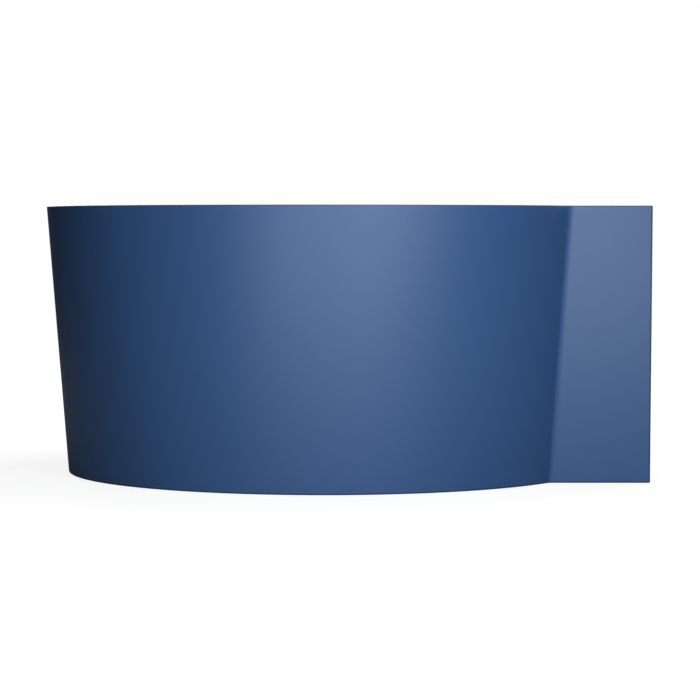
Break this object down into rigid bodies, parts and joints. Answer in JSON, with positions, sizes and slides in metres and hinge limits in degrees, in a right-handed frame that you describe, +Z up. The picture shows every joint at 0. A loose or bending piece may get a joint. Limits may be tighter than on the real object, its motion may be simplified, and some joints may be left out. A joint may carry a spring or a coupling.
{
  "type": "corner bath",
  "caption": "Corner bath with a tapered round skirt and flat wings, a white bowl, a pop-up waste worked by an overflow knob, and a frame on levelling feet.",
  "frame": {"origin": "centre of the bounding box's underside, on the floor", "axes": "+Z up; the round front and the right wing's face towards -Y; walls at +X and +Y"},
  "size_m": [1.3499, 1.3499, 0.605],
  "materials": {
    "skirt_blue": "satin",
    "basin_white": "gloss",
    "timber": "sawn, sealed",
    "zinc_steel": "zinc grey coating",
    "bright_steel": "zinc plated",
    "black_plastic": "moulded",
    "chrome": "polished",
    "black_rubber": "matt",
    "cable_sheath": "smooth sheath",
    "white_plastic": "moulded"
  },
  "bodies": {
    "bath": {"base_board": "timber", "basin": "basin_white", "control_cable": "cable_sheath", "cross_rail": "zinc_steel", "deck_bearer": "timber", "drain_flange": "chrome", "drain_gasket_lower": "black_rubber", "drain_gasket_upper": "black_rubber", "drain_tee": "white_plastic", "lock_nut_back_left": "bright_steel", "lock_nut_back_right": "bright_steel", "lock_nut_front_left": "bright_steel", "lock_nut_front_right": "bright_steel", "outlet_nut": "white_plastic", "outlet_pipe": "white_plastic", "overflow_elbow": "white_plastic", "overflow_gasket": "black_rubber", "overflow_low_nut": "white_plastic", "overflow_pipe": "white_plastic", "overflow_plate": "chrome", "overflow_top_nut": "white_plastic", "rail_nut_back_left": "bright_steel", "rail_nut_back_right": "bright_steel", "rail_nut_front_left": "bright_steel", "rail_nut_front_right": "bright_steel", "skirt": "skirt_blue", "skirt_bracket_front_left": "zinc_steel", "skirt_bracket_front_right": "zinc_steel", "skirt_bracket_left": "zinc_steel", "skirt_bracket_right": "zinc_steel", "support_rail_left": "zinc_steel", "support_rail_right": "zinc_steel", "tee_inlet_nut": "white_plastic", "trap_body": "white_plastic", "trap_cap": "white_plastic", "trap_inlet_nut": "white_plastic", "upright_left": "zinc_steel", "upright_right": "zinc_steel", "wall_batten_back": "timber", "wall_batten_right": "timber", "waste_body": "white_plastic", "waste_nut": "white_plastic", "waste_pipe": "white_plastic"},
    "knob": {"overflow_knob": "chrome"},
    "plug": {"plug": "chrome", "plug_seal": "black_rubber"},
    "lift_shaft": {"lift_shaft": "bright_steel"},
    "pad_front_left": {"foot_pad_front_left": "black_plastic"},
    "spindle_front_left": {"foot_spindle_front_left": "bright_steel"},
    "pad_front_right": {"foot_pad_front_right": "black_plastic"},
    "spindle_front_right": {"foot_spindle_front_right": "bright_steel"},
    "pad_back_left": {"foot_pad_back_left": "black_plastic"},
    "spindle_back_left": {"foot_spindle_back_left": "bright_steel"},
    "pad_back_right": {"foot_pad_back_right": "black_plastic"},
    "spindle_back_right": {"foot_spindle_back_right": "bright_steel"}
  },
  "joints": [
    {"name": "knob_turn", "type": "hinge", "parent": "bath", "child": "knob", "pos_m": [0.36557, 0.36557, 0.5], "axis": [-0.6964, -0.6964, 0.1736], "range_deg": [0, 100]},
    {"name": "plug_lift", "type": "slide", "parent": "bath", "child": "plug", "axis": [0, 0, 1], "range_m": [0, 0.008]},
    {"name": "lift_shaft_turn", "type": "hinge", "parent": "bath", "child": "lift_shaft", "pos_m": [0.21767, 0.21767, 0.07], "axis": [-0.7071, 0.7071, 0], "range_deg": [0, 26.48]},
    {"name": "pad_slide_front_left", "type": "slide", "parent": "bath", "child": "pad_front_left", "axis": [0, 0, -1], "range_m": [0, 0.0075]},
    {"name": "spindle_turn_front_left", "type": "hinge", "parent": "pad_front_left", "child": "spindle_front_left", "pos_m": [-0.431, -0.14816, 0.05], "axis": [0, 0, -1], "range_deg": [0, 1800]},
    {"name": "pad_slide_front_right", "type": "slide", "parent": "bath", "child": "pad_front_right", "axis": [0, 0, -1], "range_m": [0, 0.0075]},
    {"name": "spindle_turn_front_right", "type": "hinge", "parent": "pad_front_right", "child": "spindle_front_right", "pos_m": [-0.14816, -0.431, 0.05], "axis": [0, 0, -1], "range_deg": [0, 1800]},
    {"name": "pad_slide_back_left", "type": "slide", "parent": "bath", "child": "pad_back_left", "axis": [0, 0, -1], "range_m": [0, 0.0075]},
    {"name": "spindle_turn_back_left", "type": "hinge", "parent": "pad_back_left", "child": "spindle_back_left", "pos_m": [0.17713, 0.45998, 0.05], "axis": [0, 0, -1], "range_deg": [0, 1800]},
    {"name": "pad_slide_back_right", "type": "slide", "parent": "bath", "child": "pad_back_right", "axis": [0, 0, -1], "range_m": [0, 0.0075]},
    {"name": "spindle_turn_back_right", "type": "hinge", "parent": "pad_back_right", "child": "spindle_back_right", "pos_m": [0.45998, 0.17713, 0.05], "axis": [0, 0, -1], "range_deg": [0, 1800]}
  ],
  "couplings": [
    {"joint": "plug_lift", "follows": "knob_turn", "m_per_rad": 0.0045837},
    {"joint": "lift_shaft_turn", "follows": "knob_turn", "ratio": 0.26481},
    {"joint": "spindle_turn_front_left", "follows": "pad_slide_front_left", "rad_per_m": 4188.8},
    {"joint": "spindle_turn_front_right", "follows": "pad_slide_front_right", "rad_per_m": 4188.8},
    {"joint": "spindle_turn_back_left", "follows": "pad_slide_back_left", "rad_per_m": 4188.8},
    {"joint": "spindle_turn_back_right", "follows": "pad_slide_back_right", "rad_per_m": 4188.8}
  ]
}
